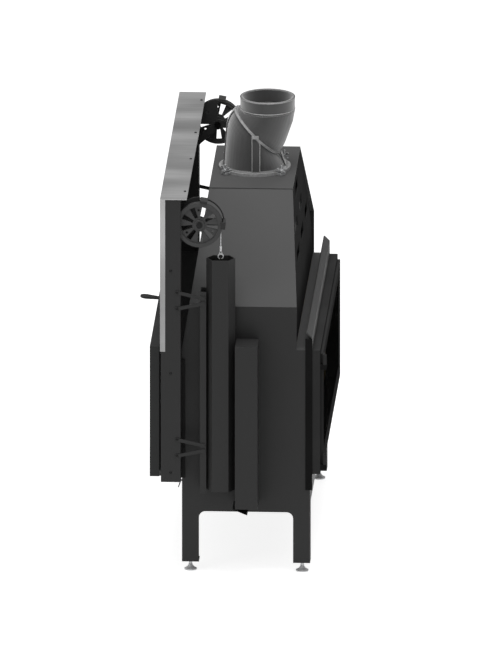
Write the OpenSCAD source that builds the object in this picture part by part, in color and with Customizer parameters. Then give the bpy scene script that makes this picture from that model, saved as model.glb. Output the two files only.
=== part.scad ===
// Double-fronted fireplace insert: a steel casing on four feet, a front door that lifts on
// cables and counterweights, a hinged rear door, and a flue outlet that turns on its ring.
// +Z is up and the lifting door faces -Y. The origin is on the floor, under the middle of
// the whole object from the tip of the door handle to the back of the rear hinges.

/* [Casing] */
// Width over the two side panels
casing_w = 1268; // [1200:1:1400]
// Depth of the side panels at the legs
casing_d = 468; // [450:1:500]
// Thickness of the casing sheet
sheet_t = 4; // [3:0.5:5]
// Height of the undersides of the legs above the floor
leg_rise = 36; // [30:1:44]
// Width of a leg
leg_w = 62; // [54:1:72]
// Radius in the corner between a leg and the skirt
leg_corner_r = 24; // [10:1:30]
// Height of the skirt's lower edge between the legs
skirt_z = 228; // [190:1:236]
// Height of the lower edges of the front and rear aprons
apron_z = 259; // [250:1:264]

/* [Openings] */
// Height of the undersides of the front and rear surrounds
frame_z = 375; // [360:1:390]
// Height of the front and rear surrounds
frame_h = 470; // [450:1:480]
// Width of the clear opening, front and rear
opening_w = 1140; // [1000:1:1150]
// Width of the face above and below the clear opening
opening_rail = 35; // [25:1:45]
// Depth of the front surround
surround_d = 74; // [60:1:90]
// Depth of the rear surround
rear_surround_d = 37; // [30:1:45]

/* [Hood] */
// Height of the upright upper casing between the step and the slopes
collar_h = 162; // [120:1:180]
// Height of the sloped hood
hood_h = 348; // [320:1:380]
// Width of the hood's top plate
hood_top_w = 552; // [500:1:640]
// Depth of the hood's top plate
hood_top_d = 306; // [290:1:330]
// Distance from the side panel's rear edge in to the upper casing's rear edge
rear_step = 49; // [40:1:56]
// Height of the rear vent slots
vent_h = 46; // [20:1:60]
// Length of the rear vent slots
vent_w = 160; // [100:1:162]

/* [Front door] */
// Width of the lifting door
door_w = 1384; // [1370:1:1396]
// Height of the lifting door
door_h = 493; // [486:1:500]
// Thickness of the lifting door
door_t = 35; // [28:1:40]
// Width of the lifting door's face at each side of its window
door_stile = 92; // [60:1:120]
// Height of the lifting door's face above and below its window
door_rail = 31.5; // [26:0.5:40]
// How far the door lifts
door_travel = 430; // [410:1:436]
// Length of the handle tongue
handle_len = 70; // [50:1:90]
// Width of the handle tongue near its tip
handle_w = 44; // [30:1:60]

/* [Guide posts and mask] */
// Width of a guide post
post_w = 60; // [54:1:64]
// Depth of a guide post
post_d = 72; // [66:1:80]
// Thickness of the guide post sheet
post_t = 4; // [3:0.5:5]
// Height of a guide post
post_h = 1073; // [1050:1:1100]
// Thickness of the mask sheet
mask_t = 3; // [2:0.5:3]
// Depth of the mask's top
mask_d = 98; // [90:1:110]
// Height of the mask
mask_h = 580; // [560:1:584]

/* [Pulleys and counterweights] */
// Radius of a pulley
pulley_r = 84; // [82:1:90]
// Radius of the cable's centre line on a pulley
pitch_r = 78; // [76:1:79]
// Thickness of a pulley at its rim
pulley_t = 20; // [16:1:22]
// Distance from the posts' tops down to the pulleys' axles
pulley_drop = 99; // [96:1:110]
// Diameter of the cable
cable_d = 4; // [3:0.5:4]
// Radius of a pulley axle
axle_r = 8; // [6:0.5:9]
// Radius of a counterweight
weight_r = 32; // [28:1:33]
// Height of a counterweight
weight_h = 360; // [340:1:370]
// Height of the counterweight tubes' undersides
tube_z = 325; // [300:1:335]
// Width of a counterweight tube's flat face
tube_flat = 60; // [50:1:66]
// Width of a counterweight tube across its front and rear corners
tube_corner = 106; // [100:1:108]
// Depth of a counterweight tube off the casing
tube_deep = 76; // [74:1:80]
// Wall of a counterweight tube
tube_wall = 3; // [2:0.5:3]

/* [Air supply] */
// Width of an air duct along the casing
duct_w = 82; // [70:1:90]
// Depth of an air duct off the casing
duct_d = 110; // [90:1:120]
// Height of the air ducts' open undersides
duct_z = 268; // [268:1:280]
// Height of an air duct
duct_h = 618; // [500:1:640]
// Length of an air flap
flap_len = 55; // [45:1:60]
// Angle that an air flap hangs open at rest
flap_angle = 22; // [10:1:30]
// How far the air lever slides to each side
lever_travel = 60; // [30:1:80]

/* [Flue] */
// Outer radius of the flue collar
flue_r = 100; // [90:1:104]
// Radius of the elbow's turning joint
elbow_r = 111; // [108:1:114]
// Wall of the flue elbow
flue_wall = 9; // [6:1:10]
// Height of the turning joint's centre above the hood's top plate
joint_rise = 142; // [138:1:150]
// Height of the flue rim above the turning joint's centre
rim_rise = 128; // [120:1:148]
// Offset of the flue collar behind the casing's middle
flue_offset = 47; // [40:1:50]

/* [Feet] */
// Radius of a foot's disc
foot_r = 23; // [18:1:26]
// Radius of a foot's threaded stud
stud_r = 6; // [5:0.5:7]
// How far a foot screws out
foot_travel = 25; // [10:1:30]

/* [Hidden] */
$fn = 48;

// Overrun of a cut past the face that it opens
over = 1;
// Gap between two pieces that lie beside each other without touching
ease = 0.3;
// Radial clearance of a shaft that turns in its bore
run_fit = 0.05;

// Room between the front surround and the lifting door, for the mask and the seal
seal_room = 6;
rear_door_t = 10;
hinge_r = 7;
hinge_pin_r = 4;

// Middle of the casing along Y, which centres the whole object on the origin
reach_front = surround_d + seal_room + door_t + handle_len;
reach_rear = rear_surround_d + rear_door_t + 2 * hinge_r;
mid_y = (reach_front - reach_rear) / 2;
half_w = casing_w / 2;
inner_w = half_w - sheet_t;
front_y = mid_y - casing_d / 2;
back_y = mid_y + casing_d / 2;
waist_z = frame_z + frame_h;
eaves_z = waist_z + collar_h;
hood_z = eaves_z + hood_h;
slope_top_z = hood_z - sheet_t;

// Hood outline: the front and rear lines lean from the step to the top plate
hood_front_y = mid_y - hood_top_d / 2;
hood_back_y = mid_y + hood_top_d / 2;
hood_half_w = hood_top_w / 2;
eaves_back_y = back_y - rear_step;
hood_rear_inset = 4;
eaves_front_y = front_y + (hood_front_y - front_y) * collar_h / (slope_top_z - waist_z);
slope_angle = atan2(slope_top_z - eaves_z, half_w - hood_half_w);
slope_run = sheet_t / sin(slope_angle);

// Openings in the two surrounds
opening_low = frame_z + opening_rail;
opening_high = waist_z - opening_rail;
opening_half = opening_w / 2;

// Guide posts and the plane that cables, pulleys and weights share
post_gap = 6;
post_in = half_w + post_gap;
post_out = post_in + post_w;
face_y = front_y - surround_d;
post_back_y = face_y + post_d;
post_drop = 19;
post_z = frame_z - post_drop;
post_top = post_z + post_h;
lift_x = post_in + tube_deep / 2;
cable_r = cable_d / 2;
cable_inset = 6;
front_run_y = post_back_y - post_t - cable_inset;
pulley_y = front_run_y + pitch_r;
rear_run_y = pulley_y + pitch_r;
pulley_z = post_top - pulley_drop;
pulley_half = pulley_t / 2;

// Door planes
door_back_y = face_y - seal_room;
door_front_y = door_back_y - door_t;
door_half = door_w / 2;
door_top = frame_z + door_h;
door_skin = 3;
glass_t = 4;
window_low = frame_z + door_rail;
window_high = door_top - door_rail;
window_half = door_half - door_stile;
glass_lip = 10;

// Carriages that run in the posts
bar_w = 32;
bar_t = 8;
bar_rise = 3;
bar_h = 422;
bar_inset = 8;
bar_y = face_y + bar_inset;
bar_z = frame_z + bar_rise;
bar_top = bar_z + bar_h;
lug_h = 20;
socket_h = 14;
socket_r = 5;
shelf_w = 24;
glide_h = 45;
glide_d = 34;
glide_inset = 30;

// Tube length: the weight, its travel and the room for the eye above it
tube_room = 89;
tube_h = weight_h + door_travel + tube_room;

// Cable ends over the counterweights
loop_r = 9;
loop_wire_r = 2.5;
eye_wire_r = 3;
ferrule_r = 4;
ferrule_h = 16;
loop_rise = 6;
loop_neck = 22;
eye_stem = 18;
loop_z = tube_z + tube_h + loop_rise;
ferrule_z = loop_z + loop_neck;
eye_z = loop_z - 2 * loop_r + loop_wire_r + eye_wire_r + ease;
weight_top = eye_z - eye_stem;

screw_r = 2;
screw_head_r = 5;
screw_head_h = 2.5;
mask_screw_len = 7;
screw_fit = 0.2;

steel = "#323232";
dark_steel = "#262626";
grey_steel = "#505050";
galvanised = "#b9bcbd";
cast_grey = "#8a8b8b";
bright = "#c8cacb";
firebrick = "#b9a88c";
glass_tint = "#20242680";

// Helpers: extrude an outline along an axis, and mirror to both sides
module along_x(x0, x1) {
  translate([x0, 0, 0])
    rotate([90, 0, 90])
      linear_extrude(x1 - x0)
        children();
}

module along_y(y0, y1) {
  translate([0, y1, 0])
    rotate([90, 0, 0])
      linear_extrude(y1 - y0)
        children();
}

module along_z(z0, z1) {
  translate([0, 0, z0])
    linear_extrude(z1 - z0)
      children();
}

module both_sides() {
  children();
  mirror([1, 0, 0])
    children();
}

module block(low, high) {
  translate(low)
    cube(high - low);
}

module rect(low, high) {
  translate(low)
    square(high - low);
}

// A flat bar of width w with an eye round each end, from point a to point b
eye_rise = 1.5;

module bar_2d(a, b, w) {
  run = b - a;
  translate(a)
    rotate(atan2(run[1], run[0]))
      translate([0, -w / 2])
        square([norm(run), w]);
  for (end = [a, b])
    translate(end)
      circle(r = w / 2 + eye_rise);
}

module tube_x(x0, x1, y, z, r) {
  translate([x0, y, z])
    rotate([0, 90, 0])
      cylinder(h = x1 - x0, r = r);
}

module tube_z_at(x, y, z0, z1, r) {
  translate([x, y, z0])
    cylinder(h = z1 - z0, r = r);
}

// Side panels: one bent sheet each, with two legs, their returns and their foot plates
leg_return = 60;
foot_plate_t = 5;
foot_out_x = 2;
foot_out_y = 1;
foot_x = half_w - leg_return / 2 + foot_out_x;
foot_y = casing_d / 2 - leg_w / 2 + foot_out_y;
duct_gap = 2;
duct_y = rear_run_y + tube_corner / 2 + duct_gap;
flap_axis_lead = 7;
flap_axis_drop = 4.5;
flap_axis_y = duct_y - flap_axis_lead;
flap_axis_z = duct_z - flap_axis_drop;
flap_shaft_r = 3.5;

module leg_arch() {
  front_in = front_y + leg_w;
  back_in = back_y - leg_w;
  rect([front_in + leg_corner_r, leg_rise - over], [back_in - leg_corner_r, skirt_z]);
  rect([front_in, leg_rise - over], [back_in, skirt_z - leg_corner_r]);
  for (y = [front_in + leg_corner_r, back_in - leg_corner_r])
    translate([y, skirt_z - leg_corner_r])
      circle(r = leg_corner_r);
}

module side_outline() {
  difference() {
    polygon([
      [front_y, leg_rise], [front_y, waist_z], [eaves_front_y, eaves_z], [eaves_back_y, eaves_z],
      [eaves_back_y, waist_z], [back_y, waist_z], [back_y, leg_rise]
    ]);
    leg_arch();
  }
}

module side_panel() {
  color(steel)
    difference() {
      union() {
        along_x(inner_w, half_w)
          side_outline();
        for (y = [front_y, back_y - sheet_t])
          block([half_w - leg_return, y, leg_rise], [half_w, y + sheet_t, apron_z]);
        for (y = [front_y, back_y - leg_w])
          block([half_w - leg_return, y, leg_rise], [half_w, y + leg_w, leg_rise + foot_plate_t]);
      }
      for (s = [-1, 1])
        tube_z_at(foot_x, mid_y + s * foot_y, leg_rise - over, leg_rise + foot_plate_t + over,
          stud_r + run_fit);
      tube_x(inner_w - over, half_w + over, flap_axis_y, flap_axis_z, flap_shaft_r + run_fit);
    }
}

module right_side_panel() {
  side_panel();
}

module left_side_panel() {
  mirror([1, 0, 0])
    side_panel();
}

// Lower casing: aprons, base, firebox floor and its refractory lining
base_rise = 4;
base_z = duct_z + base_rise;
floor_z = 340;
slab_t = 30;
lining_t = 34;
lining_inset = 14;
lining_x = opening_half - lining_inset;
grate_w = 340;
grate_d = 220;
grate_bars = 12;
slot_share = 0.4;
baffle_t = 30;
baffle_d = 240;
lever_x = 444;
lever_w = 12;
lever_t = 3;
lever_z = 290;
baffle_drop = 5;
baffle_z = waist_z - baffle_drop;

module aprons() {
  color(steel) {
    difference() {
      block([-inner_w, front_y, apron_z], [inner_w, front_y + sheet_t, opening_low]);
      block(
        [lever_x - lever_travel - lever_w, front_y - over, lever_z - lever_t / 2 - ease],
        [lever_x + lever_travel + lever_w, front_y + sheet_t + over, lever_z + lever_t / 2 + ease]
      );
    }
    block([-inner_w, back_y - sheet_t, apron_z], [inner_w, back_y, opening_low]);
  }
}

module casing_shelf(z) {
  block([-inner_w, front_y + sheet_t, z], [inner_w, back_y - sheet_t, z + sheet_t]);
}

module base_plate() {
  color(steel)
    casing_shelf(base_z);
}

module firebox_floor() {
  ledge = slab_t / 2;
  color(dark_steel)
    difference() {
      casing_shelf(floor_z);
      block(
        [ledge - grate_w / 2, mid_y + ledge - grate_d / 2, floor_z - over],
        [grate_w / 2 - ledge, mid_y + grate_d / 2 - ledge, floor_z + sheet_t + over]
      );
    }
}

module hearth_slabs() {
  low = floor_z + sheet_t;
  high = low + slab_t;
  slab_front = front_y + sheet_t + ease;
  slab_back = back_y - sheet_t - ease;
  grate_half = grate_w / 2;
  color(firebrick) {
    both_sides()
      block([grate_half + ease, slab_front, low], [lining_x - ease, slab_back, high]);
    block([-grate_half, slab_front, low], [grate_half, mid_y - grate_d / 2 - ease, high]);
    block([-grate_half, mid_y + grate_d / 2 + ease, low], [grate_half, slab_back, high]);
  }
}

module fire_grate() {
  low = floor_z + sheet_t;
  pitch = grate_w / grate_bars;
  slot = pitch * slot_share;
  rim = pitch / 2;
  color(dark_steel)
    difference() {
      block(
        [-grate_w / 2 + ease, mid_y - grate_d / 2, low],
        [grate_w / 2 - ease, mid_y + grate_d / 2, low + slab_t]
      );
      for (i = [1 : grate_bars - 1])
        translate([i * pitch - grate_w / 2 - slot / 2, mid_y - grate_d / 2 + rim, low - over])
          cube([slot, grate_d - 2 * rim, slab_t + 2 * over]);
    }
}

module side_linings() {
  color(firebrick)
    both_sides()
      block(
        [lining_x, front_y + sheet_t + ease, floor_z + sheet_t],
        [lining_x + lining_t, back_y - sheet_t - ease, baffle_z]
      );
}

module baffle_plate() {
  color(firebrick)
    block(
      [-lining_x - lining_t, mid_y - baffle_d / 2, baffle_z],
      [lining_x + lining_t, mid_y + baffle_d / 2, baffle_z + baffle_t]
    );
}

// Hood: plates cut from the space between the front and rear lines and the two slopes
module hood_side_view(in_front, in_rear) {
  polygon([
    [front_y + in_front, waist_z], [hood_front_y + in_front, slope_top_z],
    [hood_back_y - in_rear, slope_top_z], [eaves_back_y - in_rear, waist_z]
  ]);
}

module hood_front_view(inset) {
  polygon([
    [-half_w + inset, waist_z], [-half_w + inset, eaves_z], [-hood_half_w + inset, slope_top_z],
    [hood_half_w - inset, slope_top_z], [half_w - inset, eaves_z], [half_w - inset, waist_z]
  ]);
}

module hood_slopes() {
  color(grey_steel)
    both_sides()
      intersection() {
        along_y(front_y, back_y)
          polygon([
            [half_w, eaves_z], [hood_half_w, slope_top_z],
            [hood_half_w - slope_run, slope_top_z], [half_w - slope_run, eaves_z]
          ]);
        along_x(0, half_w)
          polygon([
            [eaves_front_y, eaves_z], [hood_front_y, slope_top_z],
            [hood_back_y, slope_top_z], [eaves_back_y, eaves_z]
          ]);
      }
}

module hood_front() {
  color(steel)
    intersection() {
      along_y(front_y, back_y)
        hood_front_view(slope_run);
      along_x(-half_w, half_w)
        difference() {
          hood_side_view(0, hood_rear_inset);
          translate([sheet_t, 0])
            hood_side_view(0, -sheet_t);
        }
    }
}

vent_inset = 43;
vent_top_gap = 45;
vent_low = eaves_z + vent_inset;
vent_rise = (slope_top_z - vent_top_gap - vent_h - vent_low) / 2;
vent_place_shares = [[-0.655, 0], [-0.22, 0], [0.22, 0], [0.655, 0], [-0.228, 1], [0.228, 1], [0, 2]];

module hood_rear() {
  color(dark_steel)
    difference() {
      intersection() {
        along_y(front_y, back_y)
          hood_front_view(slope_run);
        along_x(-half_w, half_w)
          difference() {
            hood_side_view(sheet_t, hood_rear_inset);
            translate([-sheet_t, 0])
              hood_side_view(-sheet_t, hood_rear_inset);
            rect([front_y, waist_z - over], [back_y, waist_z + sheet_t]);
          }
      }
      for (place = vent_place_shares)
        translate([place[0] * half_w - vent_w / 2, mid_y, vent_low + place[1] * vent_rise])
          cube([vent_w, casing_d / 2, vent_h]);
    }
}

flue_hole_lip = 10;
flue_hole_r = elbow_r - flue_hole_lip;

module hood_top() {
  color(grey_steel)
    difference() {
      block([-hood_half_w, hood_front_y, slope_top_z], [hood_half_w, hood_back_y, hood_z]);
      tube_z_at(0, mid_y, slope_top_z - over, hood_z + over, flue_hole_r);
    }
}

// Smoke dome: an inner hood that hangs from the top plate and gathers the smoke
dome_gap = 28;
dome_rise = 12;
dome_drop = 14;
dome_low = baffle_z + baffle_t + dome_rise;
dome_high = slope_top_z - dome_drop;

module dome_solid(inset) {
  intersection() {
    along_y(front_y, back_y)
      polygon([
        [-half_w + dome_gap + inset, dome_low - over * inset],
        [-half_w + dome_gap + inset, eaves_z - inset],
        [-hood_half_w + dome_gap + inset, dome_high - inset],
        [hood_half_w - dome_gap - inset, dome_high - inset],
        [half_w - dome_gap - inset, eaves_z - inset],
        [half_w - dome_gap - inset, dome_low - over * inset]
      ]);
    along_x(-half_w, half_w)
      polygon([
        [front_y + dome_gap + inset, dome_low - over * inset],
        [hood_front_y + dome_gap + inset, dome_high - inset],
        [hood_back_y - dome_gap - inset, dome_high - inset],
        [eaves_back_y - dome_gap - inset, dome_low - over * inset]
      ]);
  }
}

module smoke_dome() {
  color(dark_steel)
    difference() {
      union() {
        difference() {
          dome_solid(0);
          dome_solid(sheet_t);
        }
        tube_z_at(0, mid_y, dome_high - sheet_t, slope_top_z, flue_hole_r + sheet_t);
      }
      tube_z_at(0, mid_y, dome_low, slope_top_z + over, flue_hole_r);
    }
}

// Surrounds: folded frames around the two openings
module ring_2d(half_x, low, high, rail) {
  difference() {
    rect([-half_x, low], [half_x, high]);
    rect([-half_x + rail, low + rail], [half_x - rail, high - rail]);
  }
}

module opening_plate_2d(half_x) {
  difference() {
    rect([-half_x, frame_z], [half_x, waist_z]);
    rect([-opening_half, opening_low], [opening_half, opening_high]);
  }
}

module front_surround() {
  color(dark_steel) {
    along_y(face_y, face_y + sheet_t)
      opening_plate_2d(post_in);
    along_y(face_y, front_y)
      ring_2d(post_in, frame_z, waist_z, sheet_t);
    along_y(front_y - sheet_t, front_y)
      ring_2d(post_in, frame_z, waist_z, opening_rail - sheet_t);
  }
}

seal_w = 10;
seal_out = 12;

module door_seal() {
  color("#4a4a48")
    along_y(face_y - seal_room + ease, face_y)
      difference() {
        rect(
          [-opening_half - seal_out - seal_w, opening_low - seal_out - seal_w],
          [opening_half + seal_out + seal_w, opening_high + seal_out + seal_w]
        );
        rect(
          [-opening_half - seal_out, opening_low - seal_out],
          [opening_half + seal_out, opening_high + seal_out]
        );
      }
}

rear_face_y = back_y + rear_surround_d;

module rear_surround() {
  color(steel) {
    along_y(rear_face_y - sheet_t, rear_face_y)
      opening_plate_2d(half_w);
    along_y(back_y, rear_face_y)
      ring_2d(half_w, frame_z, waist_z, sheet_t);
  }
}

// Rear ledge: one folded sheet over the step, rising to a lip that slants forward
ledge_rise = 48;
lip_back = 23;
lip_rise = 17;
ledge_reach = 8;

module rear_ledge() {
  riser_y = back_y + ledge_reach;
  low_z = waist_z + ledge_rise;
  color(steel)
    difference() {
      along_x(-half_w, half_w)
        polygon([
          [eaves_back_y - hood_rear_inset, waist_z], [eaves_back_y - hood_rear_inset, waist_z + sheet_t],
          [riser_y - sheet_t, waist_z + sheet_t], [riser_y - sheet_t, low_z],
          [riser_y - lip_back, low_z + lip_rise], [riser_y - lip_back + sheet_t, low_z + lip_rise + sheet_t],
          [riser_y, low_z + sheet_t / 2], [riser_y, waist_z]
        ]);
      both_sides()
        block([inner_w, eaves_back_y - hood_rear_inset - over, waist_z - over],
          [half_w + over, eaves_back_y, waist_z + sheet_t + over]);
    }
}

strip_w = 25;
strip_t = 3;
strip_z = 314;

module edge_strips() {
  color(dark_steel)
    both_sides()
      block(
        [half_w, back_y + ledge_reach - strip_w, strip_z],
        [half_w + strip_t, back_y + ledge_reach, waist_z + ledge_rise - sheet_t]
      );
}

// Spacers that stand on the side panels and hook under the front surround
spacer_w = 12;
spacer_h = 449;

module post_spacers() {
  color(dark_steel)
    both_sides()
      along_x(half_w, post_in)
        polygon([
          [front_y - spacer_w, post_z], [front_y - spacer_w, frame_z], [front_y, frame_z],
          [front_y, post_z + spacer_h], [front_y + spacer_w, post_z + spacer_h],
          [front_y + spacer_w, post_z]
        ]);
}

// Guide posts: channels open to the front, with a window where each pulley enters
pulley_room = 6;
screw_post_shares = [0.033, 0.385, 0.747];

module post_section() {
  difference() {
    rect([post_in, face_y], [post_out, post_back_y]);
    rect([post_in + post_t, face_y - over], [post_out - post_t, post_back_y - post_t]);
  }
}

strut_w = 12.7;
strut_t = 3;
strut_spread = 62;
strut_close = 20;
strut_level_shares = [0.093, 0.614];
strut_inset = 13;
strut_front_y = post_back_y - strut_inset;
lip_w = 23;
upright_lead = 22;
upright_y = rear_run_y - tube_corner / 2 - upright_lead;
strut_rear_y = upright_y + lip_w / 2;

function strut_low(share) = post_z + share * post_h;

module post_screw_holes(r) {
  for (share = screw_post_shares)
    tube_x(post_out - post_t - over, post_out + over, (face_y + post_back_y) / 2, post_z + share * post_h, r);
  for (share = strut_level_shares)
    for (rise = [0, strut_spread])
      tube_x(post_out - post_t - over, post_out + over, strut_front_y, strut_low(share) + rise, r);
}

module guide_posts() {
  color(steel)
    both_sides()
      difference() {
        along_z(post_z, post_top)
          post_section();
        tube_x(post_in + post_t + over, post_out - post_t - over, pulley_y, pulley_z,
          pulley_r + pulley_room);
        post_screw_holes(screw_r + screw_fit);
      }
}

mask_low = post_top + mask_t - mask_h;
mask_screw_inset = 12;
mask_screw_shares = [-0.85, -0.245, 0.245, 0.85];
mask_flange = 16;
mask_half = post_out + mask_t;

module mask() {
  color(galvanised)
    difference() {
      union() {
        block([-mask_half, face_y - mask_t, post_top], [mask_half, face_y - mask_t + mask_d, post_top + mask_t]);
        block([-mask_half, face_y - mask_t, mask_low], [mask_half, face_y, post_top]);
        both_sides()
          block([post_out, face_y - mask_t, mask_low], [mask_half, face_y + mask_flange, post_top]);
      }
      for (share = mask_screw_shares)
        tube_z_at(share * mask_half, face_y - mask_t + mask_d - mask_screw_inset, post_top - over,
          post_top + mask_t + over, screw_r + screw_fit);
    }
}

module screw(shank) {
  cylinder(h = screw_head_h, r1 = screw_head_r, r2 = (screw_head_r + screw_r) / 2);
  translate([0, 0, -shank])
    cylinder(h = shank, r = screw_r);
}

module cover_screws() {
  color(bright) {
    for (share = mask_screw_shares)
      translate([share * mask_half, face_y - mask_t + mask_d - mask_screw_inset, post_top + mask_t])
        screw(mask_screw_len);
    both_sides() {
      for (share = screw_post_shares)
        translate([post_out, (face_y + post_back_y) / 2, post_z + share * post_h])
          rotate([0, 90, 0])
            screw(post_t - ease);
      for (share = strut_level_shares)
        for (rise = [0, strut_spread])
          translate([post_out + strut_t, strut_front_y, strut_low(share) + rise])
            rotate([0, 90, 0])
              screw(strut_t + post_t - ease);
    }
  }
}

module strut_brackets() {
  color(dark_steel)
    both_sides()
      for (share = strut_level_shares)
        difference() {
          along_x(post_out, post_out + strut_t)
            for (end = [-1, 1])
              bar_2d([strut_front_y, strut_low(share) + (1 + end) * strut_spread / 2],
                [strut_rear_y, strut_low(share) + (strut_spread + end * strut_close) / 2], strut_w);
          for (rise = [0, strut_spread])
            tube_x(post_out - over, post_out + strut_t + over, strut_front_y, strut_low(share) + rise,
              screw_r + screw_fit);
        }
}

// Uprights: folded profiles that stand on the casing and carry the tubes and the struts
upright_z = 314;
upright_top = 1080;
upright_t = 3;
upright_reach = 30;

module tube_uprights() {
  color(steel)
    both_sides()
      along_z(upright_z, upright_top)
        polygon([
          [half_w, upright_y], [half_w, rear_run_y + upright_reach], [post_in, rear_run_y + upright_reach],
          [post_in, upright_y + upright_t], [post_out - upright_t, upright_y + upright_t],
          [post_out - upright_t, upright_y + lip_w], [post_out, upright_y + lip_w], [post_out, upright_y]
        ]);
}

// Counterweight tubes: flattened hexagons, open above
flat_inset_share = 0.5;
corner_inset_share = 1.25;

function hex_points(x, flat, corner) =
  [[-x, -flat], [-x, flat], [0, corner], [x, flat], [x, -flat], [0, -corner]];

module weight_tubes() {
  color(steel)
    both_sides()
      translate([lift_x, rear_run_y, tube_z])
        difference() {
          linear_extrude(tube_h)
            polygon(hex_points(tube_deep / 2, tube_flat / 2, tube_corner / 2));
          translate([0, 0, tube_wall])
            linear_extrude(tube_h)
              polygon(hex_points(tube_deep / 2 - tube_wall, tube_flat / 2 - tube_wall * flat_inset_share,
                tube_corner / 2 - tube_wall * corner_inset_share));
        }
}

// Pulleys, their brackets, axles and cable guards
bracket_t = 5;
guard_gap = 2;
guard_t = 8;
guard_w = 27;
guard_lip = 4;
top_guard_turn = 80;
guard_r = pulley_r + guard_gap;
hub_r = 19;
spoke_t = 8;
rim_w = 14;
groove_half = 6;
groove_floor_half = 2.6;
window_count = 9;
window_phase = 33;
window_in = 26;
window_out = 67;
window_in_half = 5.5;
window_out_half = 9.7;
spoke_hole_r = 4.5;
spoke_hole_at = 55;
bush_r = 14;
boss_r = 20;
hole_at = 60;
hole_turn = 130;
web_top = 65;
axle_head_r = 11;
axle_head_h = 6;
axle_nut_h = 8;

module bracket_2d() {
  reach = guard_r + guard_t;
  difference() {
    union() {
      intersection() {
        circle(r = reach);
        translate([-reach, 0])
          square(reach);
      }
      intersection() {
        difference() {
          circle(r = reach - guard_t / 2);
          circle(r = guard_r);
        }
        square(reach);
      }
      rect([front_run_y - pulley_y - guard_w, bush_r], [0, web_top]);
      rect([0, -guard_w / 2], [reach, guard_w / 2]);
      bar_2d([0, 0], [face_y + post_d / 2 - pulley_y, -reach], guard_w);
      circle(r = boss_r);
    }
    circle(r = axle_r + run_fit);
    rotate(hole_turn)
      translate([hole_at, 0])
        circle(r = spoke_hole_r);
  }
}

module pulley_brackets() {
  color(dark_steel)
    both_sides()
      translate([0, pulley_y, pulley_z])
        along_x(post_in - bracket_t, post_in)
          bracket_2d();
}

module pulley_axles() {
  out = lift_x + pulley_half;
  color(bright)
    both_sides() {
      tube_x(post_in - bracket_t - axle_nut_h, out + ease, pulley_y, pulley_z, axle_r);
      tube_x(post_in, lift_x - pulley_half - ease, pulley_y, pulley_z, bush_r);
      tube_x(post_in - bracket_t - axle_nut_h, post_in - bracket_t, pulley_y, pulley_z, axle_head_r);
      tube_x(out + ease, out + ease + axle_head_h, pulley_y, pulley_z, axle_head_r);
    }
}

module cable_guards() {
  out = lift_x + pulley_half + guard_gap;
  color(dark_steel)
    both_sides()
      translate([0, pulley_y, pulley_z]) {
        for (turn = [0, top_guard_turn])
          rotate([turn, 0, 0])
            block([post_in, guard_r, -guard_w / 2], [out + guard_lip, guard_r + guard_t, guard_w / 2]);
        block([out, guard_r - guard_t, -guard_w / 2], [out + guard_lip, guard_r + guard_t, guard_w / 2]);
      }
}

module pulley() {
  floor_r = pitch_r - cable_r - ease;
  rim_in = pulley_r - rim_w;
  color(steel)
    translate([lift_x, pulley_y, pulley_z])
      rotate([90, 0, 90])
        difference() {
          rotate_extrude($fn = 96)
            polygon([
              [axle_r + run_fit, -pulley_half], [hub_r, -pulley_half], [hub_r, -spoke_t / 2],
              [rim_in, -spoke_t / 2], [rim_in, -pulley_half], [pulley_r, -pulley_half],
              [pulley_r, -groove_half], [floor_r, -groove_floor_half], [floor_r, groove_floor_half],
              [pulley_r, groove_half], [pulley_r, pulley_half], [rim_in, pulley_half],
              [rim_in, spoke_t / 2], [hub_r, spoke_t / 2], [hub_r, pulley_half],
              [axle_r + run_fit, pulley_half]
            ]);
          for (i = [0 : window_count - 1])
            rotate(window_phase + i * 360 / window_count)
              along_z(-pulley_half, pulley_half)
                polygon([
                  [window_in, -window_in_half], [window_out, -window_out_half],
                  [window_out, window_out_half], [window_in, window_in_half]
                ]);
          for (angle = [60, 180, 300])
            rotate(window_phase + angle)
              tube_z_at(spoke_hole_at, 0, -pulley_half, pulley_half, spoke_hole_r);
        }
}

module right_pulley() {
  pulley();
}

module left_pulley() {
  mirror([1, 0, 0])
    pulley();
}

// Cables: the turn over each pulley, the run down to the carriage and the run to the weight
module cable_wraps() {
  color(bright)
    both_sides()
      translate([lift_x, pulley_y, pulley_z])
        rotate([90, 0, 90])
          rotate_extrude(angle = 180, $fn = 72)
            translate([pitch_r, 0])
              circle(r = cable_r, $fn = 16);
}

module rear_cables() {
  color(bright)
    both_sides()
      tube_z_at(lift_x, rear_run_y, ferrule_z + ferrule_h, pulley_z, cable_r);
}

module front_cables() {
  color(bright)
    both_sides()
      tube_z_at(lift_x, front_run_y, bar_top + socket_h, pulley_z, cable_r);
}

module cable_end() {
  leg_lean = atan2(loop_r - loop_wire_r / 2, ferrule_z - loop_z);
  leg_len = norm([loop_r - loop_wire_r / 2, ferrule_z - loop_z]);
  color(bright)
    translate([lift_x, rear_run_y, 0]) {
      translate([0, 0, loop_z])
        rotate([0, 90, 0])
          rotate_extrude()
            translate([loop_r, 0])
              circle(r = loop_wire_r, $fn = 20);
      for (s = [-1, 1])
        translate([0, s * loop_r, loop_z])
          rotate([s * leg_lean, 0, 0])
            cylinder(h = leg_len, r = loop_wire_r / 2, $fn = 16);
      tube_z_at(0, 0, ferrule_z - over, ferrule_z + ferrule_h, ferrule_r);
    }
}

module right_cable_end() {
  cable_end();
}

module left_cable_end() {
  mirror([1, 0, 0])
    cable_end();
}

module counterweight() {
  color(dark_steel)
    translate([lift_x, rear_run_y, 0]) {
      tube_z_at(0, 0, weight_top - weight_h, weight_top, weight_r);
      tube_z_at(0, 0, weight_top - over, eye_z - loop_r, loop_r / 2);
      translate([0, 0, eye_z])
        rotate([90, 0, 0])
          rotate_extrude()
            translate([loop_r, 0])
              circle(r = eye_wire_r, $fn = 20);
    }
}

module right_counterweight() {
  counterweight();
}

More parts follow.
